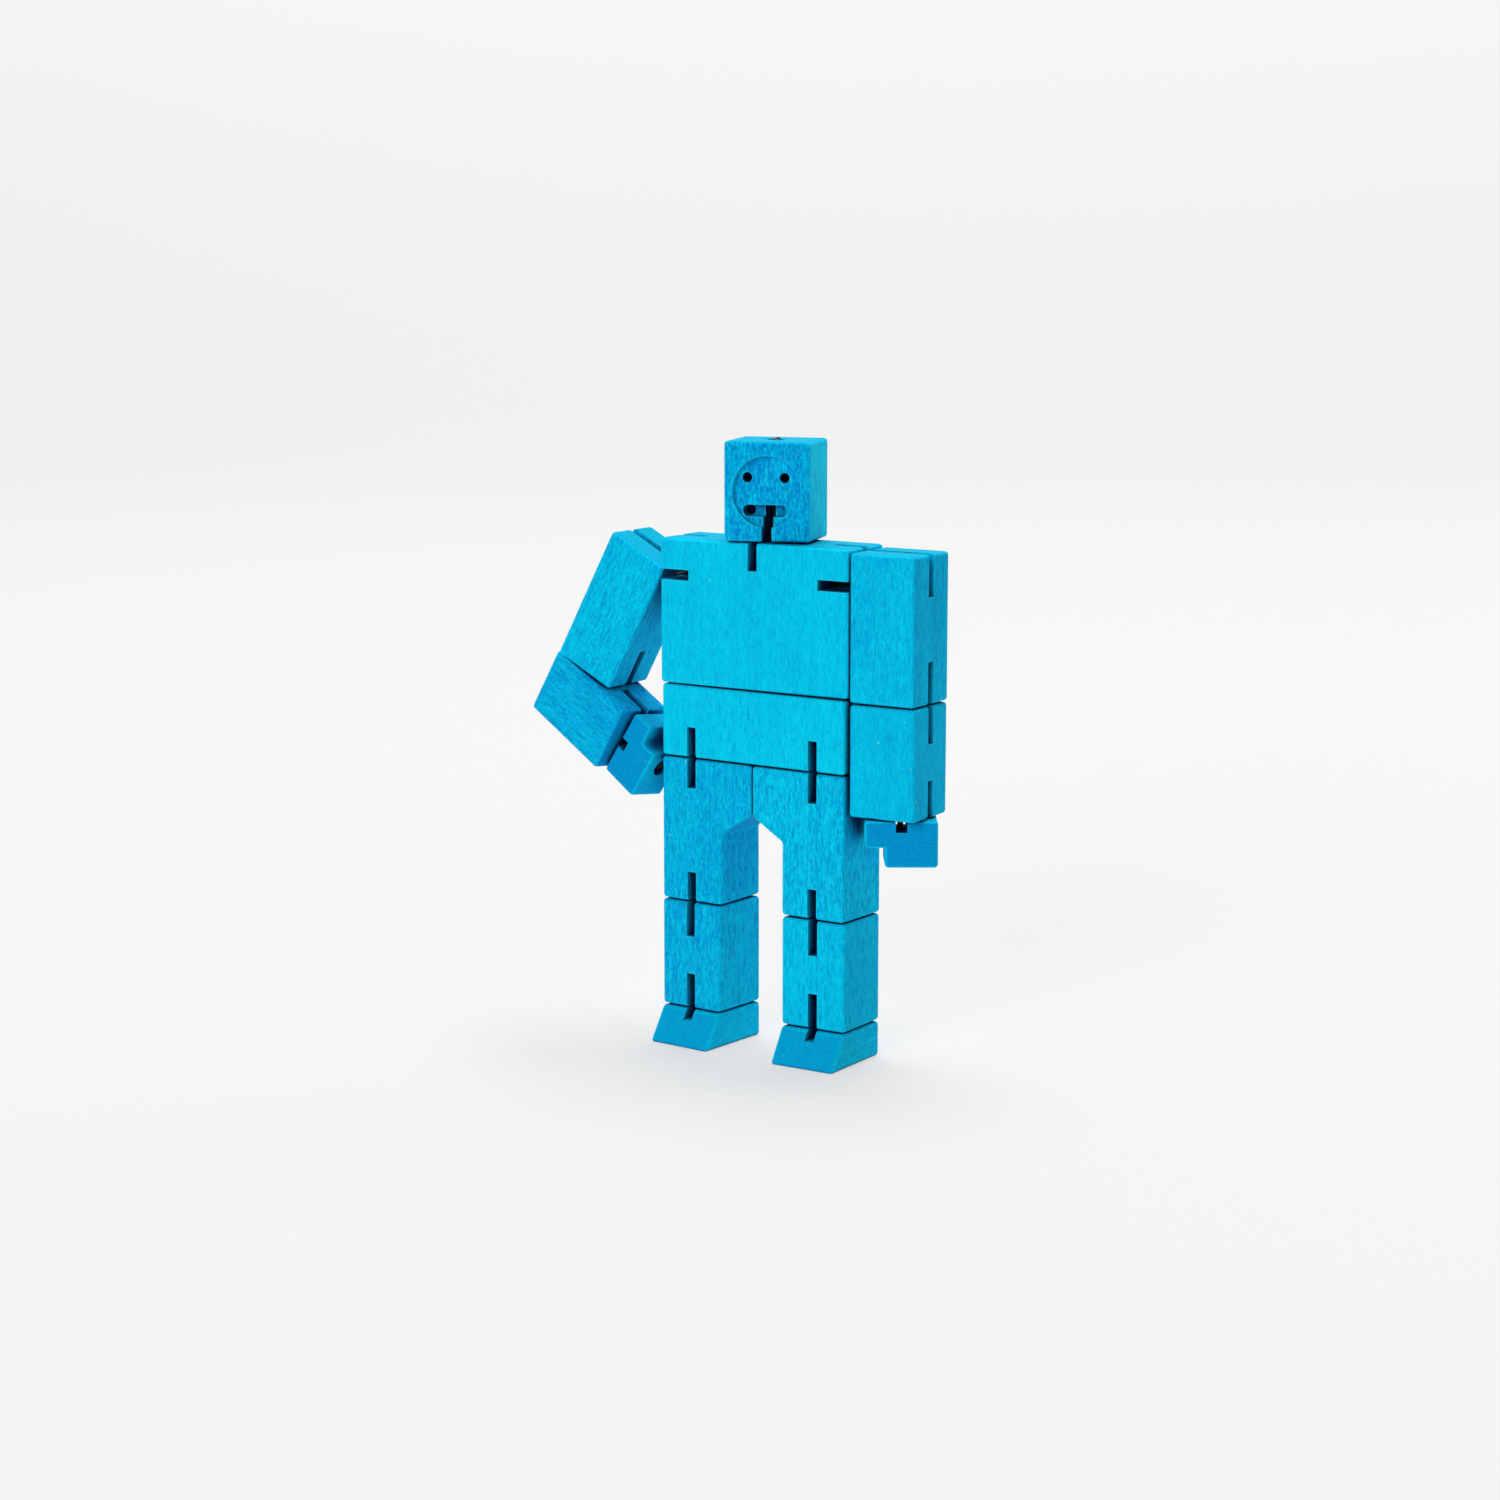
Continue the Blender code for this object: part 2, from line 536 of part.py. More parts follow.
def make_right_arm(chest_turned):
    arm, middle = make_shoulder("right", -1, chest_turned, RIGHT_SHOULDER_SLIP, GAP,
                                RIGHT_SHOULDER_TILT, RIGHT_ARM_SHIFT)
    twisted = pivot("right_elbow_twist", arm, (middle, 0, 0), turn(RIGHT_ELBOW_TWIST, "Z"))
    elbow = make_elbow("right", twisted, 0, -ARM_WIDTH / 2, -RIGHT_ELBOW_FOLD)
    strand, low = -ARM_WIDTH / 2 + 0.0012, -UPPER_ARM_LENGTH
    cord("right_elbow_loop", twisted, [(strand, 0, low - GAP), (strand, 0, low - 0.0035)])
    turned = Matrix.Translation((-ARM_WIDTH / 2, 0, 0))
    make_forearm("right", -1, elbow, turned)
    reach = ARM_WIDTH / 2 + ROCK_CLEARANCE
    end = turned @ Vector((0, 0, -FOREARM_LENGTH - GAP / 2))
    wrist = pivot("right_wrist_fold", elbow, end - Vector((reach, 0, 0)))
    twist = pivot("right_hand_frame", wrist, (reach, 0, -RIGHT_HAND_GAP),
                  turn(RIGHT_WRIST_TILT, "Y") @ turn(RIGHT_WRIST_TWIST, "Z"))
    make_hand("right", -1, twist, twist)


def centre_over_base(root):
    """Moves the whole figure so that its box stands centred on the origin."""
    bpy.context.view_layer.update()
    graph = bpy.context.evaluated_depsgraph_get()
    corners = []
    for obj in PARTS.objects:
        if obj.type != "EMPTY":
            evaluated = obj.evaluated_get(graph)
            mesh = evaluated.to_mesh()
            corners += [obj.matrix_world @ vert.co for vert in mesh.vertices]
            evaluated.to_mesh_clear()
    low = Vector(min(c[i] for c in corners) for i in range(3))
    high = Vector(max(c[i] for c in corners) for i in range(3))
    root.location -= Vector(((low.x + high.x) / 2, (low.y + high.y) / 2, low.z))


def main():
    """Stands the figure up from its pelvis: legs below, chest, head and arms above."""
    root = pivot("figure", None)
    waist = pivot("pelvis_frame", root, rotation=turn(WAIST_TURN, "Z"))
    leg_cord_z = make_pelvis(waist)
    make_spine_loop(waist, leg_cord_z)
    make_leg("left", 1, LEFT_SHIN_TURN, waist)
    make_leg("right", -1, RIGHT_SHIN_TURN, waist)
    chest_turned = pivot("waist_twist", waist, rotation=turn(-WAIST_TURN, "Z"))
    make_chest(chest_turned)
    neck = pivot("neck_twist", chest_turned, HEAD_SHIFT + Vector((0, 0, NECK_Z)), turn(NECK_TURN, "Z"))
    nod = pivot("neck_fold", neck, (0, -(HEAD_SIZE.y + GAP) / 2, 0))
    make_head(neck, nod)
    make_left_arm(chest_turned)
    make_right_arm(chest_turned)
    centre_over_base(root)


for old in list(bpy.data.objects):
    bpy.data.objects.remove(old)
PARTS = collection("block_robot")
CUTTERS = collection("cutters", cutters=True)
main()
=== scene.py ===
"""The wooden block robot as it looks: stained beech blocks strung on black elastic cord."""
import json
import math

import bmesh
import bpy
from mathutils import Matrix, Vector


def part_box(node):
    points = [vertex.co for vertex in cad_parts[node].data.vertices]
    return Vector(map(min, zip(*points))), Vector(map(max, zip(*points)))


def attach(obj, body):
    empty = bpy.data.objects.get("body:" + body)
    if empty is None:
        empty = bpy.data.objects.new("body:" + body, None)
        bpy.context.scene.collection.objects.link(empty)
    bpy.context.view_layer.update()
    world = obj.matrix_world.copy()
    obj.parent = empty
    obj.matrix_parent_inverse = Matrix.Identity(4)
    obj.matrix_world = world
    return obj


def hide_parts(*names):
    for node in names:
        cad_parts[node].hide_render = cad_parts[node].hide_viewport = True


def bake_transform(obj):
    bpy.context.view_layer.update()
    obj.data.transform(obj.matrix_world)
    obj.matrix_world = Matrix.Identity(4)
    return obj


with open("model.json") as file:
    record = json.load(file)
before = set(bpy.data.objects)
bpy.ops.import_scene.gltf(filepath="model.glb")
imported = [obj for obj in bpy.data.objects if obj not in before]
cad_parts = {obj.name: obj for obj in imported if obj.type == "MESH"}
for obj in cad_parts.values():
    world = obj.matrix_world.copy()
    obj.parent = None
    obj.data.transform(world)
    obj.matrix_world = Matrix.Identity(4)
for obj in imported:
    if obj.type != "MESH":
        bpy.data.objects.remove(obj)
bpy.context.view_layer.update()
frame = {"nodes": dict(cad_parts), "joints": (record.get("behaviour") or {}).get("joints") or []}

# One unit is a third of the chest's width. Angles are in degrees.
CHEST_LOW, CHEST_HIGH = (Vector(corner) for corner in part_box("chest"))
UNIT = (CHEST_HIGH.x - CHEST_LOW.x) / 3
MIDDLE = Vector(((CHEST_LOW.x + CHEST_HIGH.x) / 2, (CHEST_LOW.y + CHEST_HIGH.y) / 2, 0))
JOINTS = {joint["name"]: joint for joint in frame["joints"]}

# The blocks' sizes, and the depth of each saw slit, as the CAD has them
ARM_WIDTH = 0.98 * UNIT
UPPER_ARM_LENGTH = 2 * UNIT
FOREARM_LENGTH = 1.515 * UNIT
ARM_CORD_DROP = 0.5 * UNIT  # from the chest's top down to the arm cord
HEAD_SLIT = 0.48 * UNIT
SHOULDER_SLIT = 0.47 * UNIT
UPPER_ARM_SLIT = 0.57 * UNIT
FOREARM_SLIT = 0.51 * UNIT
HAND_SLIT = 0.15 * UNIT
PELVIS_SLIT = 0.42 * UNIT
THIGH_SLIT = 0.41 * UNIT
SHIN_SLIT = 0.485 * UNIT
ELBOW_ROCK = 0.0004  # the left elbow turns this far outside the arm's corner

# Cords and knots, in metres
CORD_RADIUS = 0.00062
SPINE_RADIUS = 0.0008
LOOP_RADIUS = 0.0005
KNOT_RADIUS = 0.00115
CORD_GAP = 0.00015
NECK_LEAD = 0.1 * UNIT  # below the neck, where the spine cord starts to bend with the head
BRAID_LENGTH = 0.001
BRAID_SWELL, BRAID_RIPPLE = 0.03, 2600  # share of the radius, and radians along a metre
CORD_TIP = 0.3  # how far a cord's end bulges, in radii

# How each block is turned from upright, one turn after another about its own axes. The
# grain runs along the block's Z, or along its Y where it is sawn from a moulding.
RAISED, ELBOW = ("Y", 28.2), (("Z", -10.4), ("Y", -89))
BLOCK_TURNS = {
    "chest": [], "pelvis": [("Z", -2.1)], "head": [("Z", 16.7)],
    "left_upper_arm": [], "left_forearm": [("Z", 1.8)], "left_hand": [("Z", 34.5)],
    "right_upper_arm": [RAISED], "right_forearm": [RAISED, *ELBOW],
    "right_hand": [RAISED, *ELBOW, ("Y", 2), ("Z", 2)],
    "left_thigh": [("Z", -2.1)], "right_thigh": [("Z", -2.1)],
    "left_shin": [("Z", -0.1)], "right_shin": [("Z", -4.6)],
    "left_foot": [("Z", -0.1)], "right_foot": [("Z", -4.6)],
}


def block_matrix(name):
    """Turns the block's own axes into the frame's."""
    turned = Matrix.Identity(3)
    for axis, degrees in BLOCK_TURNS[name]:
        turned = turned @ Matrix.Rotation(math.radians(degrees), 3, axis)
    return turned


def joint_at(name):
    return Vector(JOINTS[name]["pos_m"])


# Camera and light ---------------------------------------------------------------------
CENTRE = MIDDLE + Vector((0, 0, 4 * UNIT))
CAMERA_ANGLES = (32.83, 9.75)  # towards the robot's left, and down, in degrees
CAMERA_PLACE = (43.861 * UNIT, -0.282 * UNIT, 0.183 * UNIT)  # from CENTRE: back, right, up
CAMERA_LENS, CAMERA_SENSOR = 76.8, 36

WORLD_STRENGTH = 0.12
PAPER_COLOUR = (0.22, 0.217, 0.215)
PAPER_GLOW, GLOW_RISE = (0.555, 0.715), 0.5  # at the floor, and this high up the wall
SWEEP_HALF_WIDTH, SWEEP_FRONT, SWEEP_BACK, SWEEP_BEND, SWEEP_TOP = 4.0, -3.0, 1.2, 0.8, 4.0
LIGHTS = (  # name, right of the robot, behind it, above its centre, size, power
    ("overhead", 0.1, 0.5, 2.2, 1.6, 58),
    ("front", -1.0, -1.8, 1.0, 1.2, 25.5),
    ("side", 1.9, 1.0, 0.7, 1.2, 7.5),
)


def add_camera():
    """From the robot's left front, a little above its waist. Returns its right and forward."""
    yaw, pitch = (math.radians(degrees) for degrees in CAMERA_ANGLES)
    forward = Vector((-math.sin(yaw) * math.cos(pitch), math.cos(yaw) * math.cos(pitch),
                      -math.sin(pitch)))
    right = Vector((math.cos(yaw), math.sin(yaw), 0))
    up = right.cross(forward)
    camera = bpy.data.objects.new("camera", bpy.data.cameras.new("camera"))
    bpy.context.scene.collection.objects.link(camera)
    camera.data.lens = CAMERA_LENS
    camera.data.sensor_width = CAMERA_SENSOR
    distance, across, raised = CAMERA_PLACE
    place = CENTRE - forward * distance + right * across + up * raised
    turned = Matrix((right, up, -forward)).transposed().to_4x4()
    camera.matrix_world = Matrix.Translation(place) @ turned
    camera.data.clip_start = 0.01
    camera.data.clip_end = 50
    bpy.context.scene.camera = camera
    return right, forward


def add_light(name, place, size, power):
    """A round soft light that faces the robot's centre."""
    data = bpy.data.lights.new(name, "AREA")
    data.shape = "DISK"
    data.size = size
    data.energy = power
    light = bpy.data.objects.new(name, data)
    bpy.context.scene.collection.objects.link(light)
    turned = (CENTRE - place).to_track_quat("-Z", "Y").to_matrix().to_4x4()
    light.matrix_world = Matrix.Translation(place) @ turned


def add_studio(right, forward):
    """A pale sweep that curves up behind, a white world and soft lights."""
    bpy.context.scene.view_settings.view_transform = "Standard"
    world = bpy.data.worlds.new("studio")
    bpy.context.scene.world = world
    world.use_nodes = True
    world.node_tree.nodes["Background"].inputs["Color"].default_value = (1, 1, 1, 1)
    world.node_tree.nodes["Background"].inputs["Strength"].default_value = WORLD_STRENGTH

    flat = Vector((forward.x, forward.y, 0)).normalized()
    bm = bmesh.new()
    profile = [(SWEEP_FRONT, 0.0), (SWEEP_BACK, 0.0)]
    profile += [(SWEEP_BACK + SWEEP_BEND * math.sin(a), SWEEP_BEND - SWEEP_BEND * math.cos(a))
                for a in (math.radians(d) for d in range(6, 91, 6))]
    profile += [(SWEEP_BACK + SWEEP_BEND, SWEEP_TOP)]
    rows = []
    for side in (-SWEEP_HALF_WIDTH, SWEEP_HALF_WIDTH):
        rows.append([bm.verts.new(MIDDLE + flat * y + right * side + Vector((0, 0, z)))
                     for y, z in profile])
    for i in range(len(profile) - 1):
        bm.faces.new((rows[0][i], rows[1][i], rows[1][i + 1], rows[0][i + 1]))
    mesh = bpy.data.meshes.new("sweep")
    bm.to_mesh(mesh)
    bm.free()
    mesh.shade_smooth()
    sweep = bpy.data.objects.new("sweep", mesh)
    bpy.context.scene.collection.objects.link(sweep)
    paper = bpy.data.materials.new("paper")
    paper.use_nodes = True
    shader = paper.node_tree.nodes["Principled BSDF"]
    shader.inputs["Base Color"].default_value = (*PAPER_COLOUR, 1)
    shader.inputs["Roughness"].default_value = 0.9
    shader.inputs["Emission Color"].default_value = (1, 1, 1, 1)
    n = Nodes(paper.node_tree)
    height = n.add("ShaderNodeSeparateXYZ", {0: n.add("ShaderNodeTexCoord").outputs["Object"]})
    glow = n.add("ShaderNodeMapRange", {"Value": height.outputs["Z"], "From Min": 0.0,
                                        "From Max": GLOW_RISE, "To Min": PAPER_GLOW[0],
                                        "To Max": PAPER_GLOW[1]})
    paper.node_tree.links.new(glow.outputs[0], shader.inputs["Emission Strength"])
    sweep.data.materials.append(paper)

    for name, across, depth, height, size, power in LIGHTS:
        place = CENTRE + right * across + flat * depth + Vector((0, 0, height))
        add_light(name, place, size, power)


# Materials ----------------------------------------------------------------------------
# Stained beech: long grain from deepest to lightest, end grain from its pores out, the marks
# in the wood, and painted light: a highlight on the edges, light on end grain that faces up,
# light and shade on a block's flanks, and shade in its slits
LONG_GRAIN = ((0.001, 0.188, 0.610), (0.002, 0.680, 0.920))
END_GRAIN_SIDE = ((0.001, 0.270, 0.600), (0.002, 0.355, 0.715))
# painted light: a paler, greener copy of the end grain for faces that look up
END_GRAIN_PAINTED_TOP_LIGHT = ((0.001, 0.310, 0.490), (0.002, 0.400, 0.580))
FLECK, PALE_FLECK, SPECK = (0.002, 0.240, 0.520), (0.020, 0.660, 0.880), (0.18, 0.69, 0.6)
# painted highlight along the edges
PAINTED_EDGE_HIGHLIGHT = (0.020, 0.660, 0.870)
# painted light and shade on a block's flanks, and painted shade in its slits, bores and seams
PAINTED_FLANK_SHADE, PAINTED_SLIT_SHADE = (0.9, 1.0, 1.0), (0.04, 0.045, 0.17)
WOOD_GLOSS, WOOD_GLOSS_TINT = 0.022, (0.0, 0.7, 1.0)
WOOD_SHEEN, WOOD_SHEEN_TINT = 0.06, (0.1, 0.8, 1.0)
BLOCK_SHIFT = (0.137, 0.071, 0.203)  # from one block's place in the wood to the next one's

# painted shade between the yarns, and the yarns' own black
BRAID = ((0.0035, 0.004, 0.006), (0.022, 0.024, 0.03))  # between the yarns, and on them


class Nodes:
    """A short way to write a node tree."""

    def __init__(self, tree):
        self.tree = tree

    def add(self, kind, inputs=None, **settings):
        node = self.tree.nodes.new(kind)
        for name, value in settings.items():
            setattr(node, name, value)
        for key, value in (inputs or {}).items():
            socket = node.inputs[key]
            if isinstance(value, bpy.types.NodeSocket):
                self.tree.links.new(value, socket)
            else:
                socket.default_value = value
        return node

    def math(self, operation, a, b=0.0, c=0.0, clamp=False):
        return self.add("ShaderNodeMath", {0: a, 1: b, 2: c}, operation=operation,
                        use_clamp=clamp).outputs[0]

    def ramp(self, value, *stops):
        """A grey ramp through these (place, level) stops."""
        node = self.add("ShaderNodeValToRGB", {"Fac": value})
        elements = node.color_ramp.elements
        while len(elements) < len(stops):
            elements.new(0.5)
        for element, (place, level) in zip(elements, stops):
            element.position = place
            element.color = (level, level, level, 1)
        return node.outputs["Color"]

    def mix(self, factor, a, b, blend="MIX"):
        node = self.add("ShaderNodeMix", data_type="RGBA", blend_type=blend)
        for socket, value in ((node.inputs[0], factor), (node.inputs[6], a), (node.inputs[7], b)):
            if isinstance(value, bpy.types.NodeSocket):
                self.tree.links.new(value, socket)
            else:
                socket.default_value = value if isinstance(value, (int, float)) else (*value, 1)
        return node.outputs[2]

    def noise(self, vector, scale, detail=2.0, rough=0.5):
        return self.add("ShaderNodeTexNoise", {"Vector": vector, "Scale": scale, "Detail": detail,
                                               "Roughness": rough}).outputs["Fac"]

    def stretched(self, vector, across, along, shift=0.0):
        """The grain coordinates in cells this many metres across and along the grain."""
        return self.add("ShaderNodeMapping", {
            "Vector": vector, "Location": (shift, shift, shift),
            "Scale": (1 / across, 1 / across, 1 / along)}).outputs[0]


def wood_group():
    """Stained beech with painted light and shade: its inputs are grain coordinates in metres and
    the faces' normal.
    """
    tree = bpy.data.node_groups.new("stained_beech_painted_light", "ShaderNodeTree")
    face = tree.interface
    face.new_socket("Grain", in_out="INPUT", socket_type="NodeSocketVector")
    face.new_socket("Normal", in_out="INPUT", socket_type="NodeSocketVector")
    for name in ("Shade", "Side", "Flecks", "Specks", "Up"):
        face.new_socket(name, in_out="INPUT", socket_type="NodeSocketFloat")
    face.new_socket("Color", in_out="OUTPUT", socket_type="NodeSocketColor")
    face.new_socket("Roughness", in_out="OUTPUT", socket_type="NodeSocketFloat")
    face.new_socket("Height", in_out="OUTPUT", socket_type="NodeSocketFloat")
    n = Nodes(tree)
    given = n.add("NodeGroupInput")
    grain = given.outputs["Grain"]

    # end grain, where the face looks along the grain
    parts = n.add("ShaderNodeSeparateXYZ", {0: given.outputs["Normal"]})
    end = n.ramp(n.math("ABSOLUTE", parts.outputs["Z"]), (0.7, 0.0), (0.92, 1.0))

    # slow change of the stain across a block, and bands along the grain
    cloud = n.noise(n.stretched(grain, 0.011, 0.022), 1.0, 3.0)
    band = n.noise(n.stretched(grain, 0.0022, 0.045, 3.0), 1.0, 2.0)
    # fibres
    fibre = n.noise(n.stretched(grain, 0.0005, 0.0024, 7.0), 1.0, 2.0, 0.6)
    fine = n.noise(n.stretched(grain, 0.0003, 0.0008, 11.0), 1.0, 1.0, 0.5)
    # beech flecks: short dark lenses along the grain
    wobble = n.add("ShaderNodeVectorMath", {0: n.add("ShaderNodeTexNoise", {
        "Vector": n.stretched(grain, 0.004, 0.008), "Scale": 1.0}).outputs["Color"],
        1: (0.5, 0.5, 0.5)}, operation="SUBTRACT").outputs[0]
    bent = n.add("ShaderNodeVectorMath", {
        0: n.stretched(grain, 0.00062, 0.0034, 19.0),
        1: n.add("ShaderNodeVectorMath", {0: wobble, "Scale": 0.9}, operation="SCALE").outputs[0]},
        operation="ADD").outputs[0]
    cell = n.add("ShaderNodeTexVoronoi", {"Vector": bent, "Scale": 1.0, "Randomness": 1.0})
    lens = n.ramp(cell.outputs["Distance"], (0.18, 1.0), (0.46, 0.0))
    chance = n.add("ShaderNodeSeparateColor", {0: cell.outputs["Color"]}).outputs[0]
    fleck = n.math("MULTIPLY", lens, n.ramp(chance, (0.35, 0.0), (0.75, 1.0)))
    pale_cell = n.add("ShaderNodeTexVoronoi", {
        "Vector": n.stretched(grain, 0.0008, 0.003, 31.0), "Scale": 1.0})
    pale_pick = n.add("ShaderNodeSeparateColor", {0: pale_cell.outputs["Color"]}).outputs[1]
    pale = n.math("MULTIPLY", n.ramp(pale_cell.outputs["Distance"], (0.1, 1.0), (0.4, 0.0)),
                  n.ramp(pale_pick, (0.5, 0.0), (0.8, 1.0)))
    # unstained specks, few and pale
    speck_cell = n.add("ShaderNodeTexVoronoi", {
        "Vector": n.stretched(grain, 0.0016, 0.0022, 43.0), "Scale": 1.0})
    speck_pick = n.add("ShaderNodeSeparateColor", {0: speck_cell.outputs["Color"]}).outputs[2]
    speck_edge = n.math("SUBTRACT", 1.0, n.math("MULTIPLY", given.outputs["Specks"], 0.09))
    speck = n.math("MULTIPLY", n.ramp(speck_cell.outputs["Distance"], (0.08, 1.0), (0.16, 0.0)),
                   n.math("GREATER_THAN", speck_pick, speck_edge))

    # colours: cyan on long grain, deeper blue where end grain drinks the stain
    slow = n.math("ADD", n.math("MULTIPLY", cloud, 0.35), n.math("MULTIPLY", band, 0.3))
    quick = n.math("ADD", n.math("MULTIPLY", fibre, 0.85), n.math("MULTIPLY", fine, 0.9))
    contrast = n.math("MULTIPLY_ADD", given.outputs["Flecks"], 0.9, 0.3)
    quick = n.math("MULTIPLY", n.math("SUBTRACT", quick, 0.875), contrast)
    # painted light and shade: a block's flanks, the faces across its X, are made lighter or darker
    # by its flank value and a little less red, as light falls on them
    painted_flank_mask = n.ramp(n.math("ABSOLUTE", parts.outputs["X"]), (0.6, 0.0), (0.9, 1.0))
    shade = n.math("MULTIPLY_ADD", painted_flank_mask, given.outputs["Side"], given.outputs["Shade"])
    tone = n.math("ADD", n.math("ADD", slow, quick), shade)
    long_grain = n.mix(n.ramp(n.math("ADD", tone, 0.3), (0.0, 0.111), (0.96, 1.0)), *LONG_GRAIN)
    long_grain = n.mix(painted_flank_mask, long_grain, PAINTED_FLANK_SHADE, "MULTIPLY")
    marks = n.math("MULTIPLY", fleck, given.outputs["Flecks"], clamp=True)
    long_grain = n.mix(n.math("MULTIPLY", marks, 0.55), long_grain, FLECK)
    long_grain = n.mix(n.math("MULTIPLY", n.math("MULTIPLY", pale, given.outputs["Flecks"]), 0.3),
                       long_grain, PALE_FLECK)
    pores = n.noise(n.stretched(grain, 0.0004, 0.02, 53.0), 1.0, 2.0, 0.6)
    cuts = n.noise(n.add("ShaderNodeMapping", {
        "Vector": grain, "Rotation": (0, 0, 0.6), "Scale": (250, 4200, 250)}).outputs[0], 1.0, 1.0)
    pores = n.math("ADD", n.math("MULTIPLY", pores, 0.75), n.math("MULTIPLY", cuts, 0.25))
    pores = n.ramp(pores, (0.4, 0.0), (0.6, 1.0))
    # painted light: end grain that faces up takes the paler, greener copy, as tops catch the light
    # from above
    end_colour = n.mix(n.ramp(given.outputs["Up"], (0.5, 0.0), (0.85, 1.0)),
                       n.mix(pores, *END_GRAIN_SIDE), n.mix(pores, *END_GRAIN_PAINTED_TOP_LIGHT))
    colour = n.mix(end, long_grain, end_colour)
    colour = n.mix(n.math("MULTIPLY", speck, 0.7), colour, SPECK)

    # painted highlight: the edges are made paler where they would catch the light, less so on end
    # grain
    soft = n.add("ShaderNodeBevel", {"Radius": 0.0007}, samples=6).outputs[0]
    sharp = n.add("ShaderNodeNewGeometry").outputs["Normal"]
    edge_highlight = n.math("SUBTRACT", 1.0, n.add("ShaderNodeVectorMath", {0: soft, 1: sharp},
                                         operation="DOT_PRODUCT").outputs["Value"])
    edge_highlight = n.ramp(n.math("MULTIPLY", edge_highlight, n.math("ADD", fine, 0.6)), (0.02, 0.0), (0.2, 1.0))
    edge_highlight = n.math("MULTIPLY", edge_highlight, n.math("MULTIPLY_ADD", end, -0.33, 0.45))
    colour = n.mix(edge_highlight, colour, PAINTED_EDGE_HIGHLIGHT)

    # painted shade: the colour is darkened by ambient occlusion where little light gets in, in
    # slits, bores and seams
    clear_of_painted_shade = n.ramp(n.add("ShaderNodeAmbientOcclusion", {"Distance": 0.012}, samples=8)
                      .outputs["AO"], (0.18, 0.0), (0.42, 1.0))
    colour = n.mix(clear_of_painted_shade, n.mix(1.0, colour, PAINTED_SLIT_SHADE, "MULTIPLY"), colour)

    height = n.math("ADD", n.math("MULTIPLY", fibre, 0.7), n.math("MULTIPLY", fine, 0.3))
    height = n.math("SUBTRACT", height, n.math("MULTIPLY", fleck, 0.25))
    height = n.math("MULTIPLY", height, n.math("SUBTRACT", 1.0, n.math("MULTIPLY", end, 0.7)))
    rough = n.math("ADD", 0.58, n.math("MULTIPLY", fibre, 0.22))
    n.add("NodeGroupOutput", {"Color": colour, "Roughness": rough, "Height": height})
    return tree


def wood_material(name, group, number, shade, side, flecks, specks):
    material = bpy.data.materials.new("stained_" + name)
    material.use_nodes = True
    n = Nodes(material.node_tree)
    shader = material.node_tree.nodes["Principled BSDF"]
    place = n.add("ShaderNodeTexCoord")
    turned = block_matrix(name)
    if name.endswith(("hand", "foot")):
        turned = turned @ Matrix.Rotation(math.radians(90), 3, "X")
    turned = turned.transposed().to_euler()
    shift = [step * number for step in BLOCK_SHIFT]
    grain = n.add("ShaderNodeMapping", {"Vector": place.outputs["Object"], "Rotation": turned,
                                        "Location": shift}).outputs[0]
    normal = n.add("ShaderNodeMapping", {"Vector": place.outputs["Normal"], "Rotation": turned},
                   vector_type="NORMAL").outputs[0]
    wood = n.add("ShaderNodeGroup", {}, node_tree=group)
    # side sets the painted light and shade on the block's flanks
    for key, value in (("Shade", shade), ("Side", side), ("Flecks", flecks), ("Specks", specks)):
        wood.inputs[key].default_value = value
    up = n.add("ShaderNodeSeparateXYZ", {0: place.outputs["Normal"]}).outputs["Z"]
    n.tree.links.new(up, wood.inputs["Up"])
    n.tree.links.new(grain, wood.inputs["Grain"])
    n.tree.links.new(normal, wood.inputs["Normal"])
    bump = n.add("ShaderNodeBump", {"Height": wood.outputs["Height"], "Distance": 0.00012,
                                    "Strength": 0.6})
    n.tree.links.new(wood.outputs["Color"], shader.inputs["Base Color"])
    n.tree.links.new(wood.outputs["Roughness"], shader.inputs["Roughness"])
    n.tree.links.new(bump.outputs[0], shader.inputs["Normal"])
    shader.inputs["Specular IOR Level"].default_value = WOOD_GLOSS
    shader.inputs["Specular Tint"].default_value = (*WOOD_GLOSS_TINT, 1)
    shader.inputs["Sheen Weight"].default_value = WOOD_SHEEN
    shader.inputs["Sheen Roughness"].default_value = 0.25
    shader.inputs["Sheen Tint"].default_value = (*WOOD_SHEEN_TINT, 1)
    return material


def cord_material():
    """Black elastic: a tight braid round a rubber core, by the tube's own UVs."""
    material = bpy.data.materials.new("braided_cord")
    material.use_nodes = True
    n = Nodes(material.node_tree)
    shader = material.node_tree.nodes["Principled BSDF"]
    uv = n.add("ShaderNodeTexCoord").outputs["UV"]
    parts = n.add("ShaderNodeSeparateXYZ", {0: uv})
    around, along = parts.outputs["X"], parts.outputs["Y"]
    strands = []
    for sign in (1, -1):
        phase = n.math("ADD", n.math("MULTIPLY", around, 8 * sign), n.math("MULTIPLY", along, 5))
        strands.append(n.math("ABSOLUTE", n.math("SINE", n.math("MULTIPLY", phase, math.pi))))
    weave = n.math("MAXIMUM", strands[0], strands[1])
    # painted shade in the grooves between the yarns
    colour = n.mix(weave, *BRAID)
    bump = n.add("ShaderNodeBump", {"Height": weave, "Distance": 0.0001, "Strength": 0.8})
    n.tree.links.new(colour, shader.inputs["Base Color"])
    n.tree.links.new(bump.outputs[0], shader.inputs["Normal"])
    shader.inputs["Roughness"].default_value = 0.62
    shader.inputs["Specular IOR Level"].default_value = 0.4
    return material


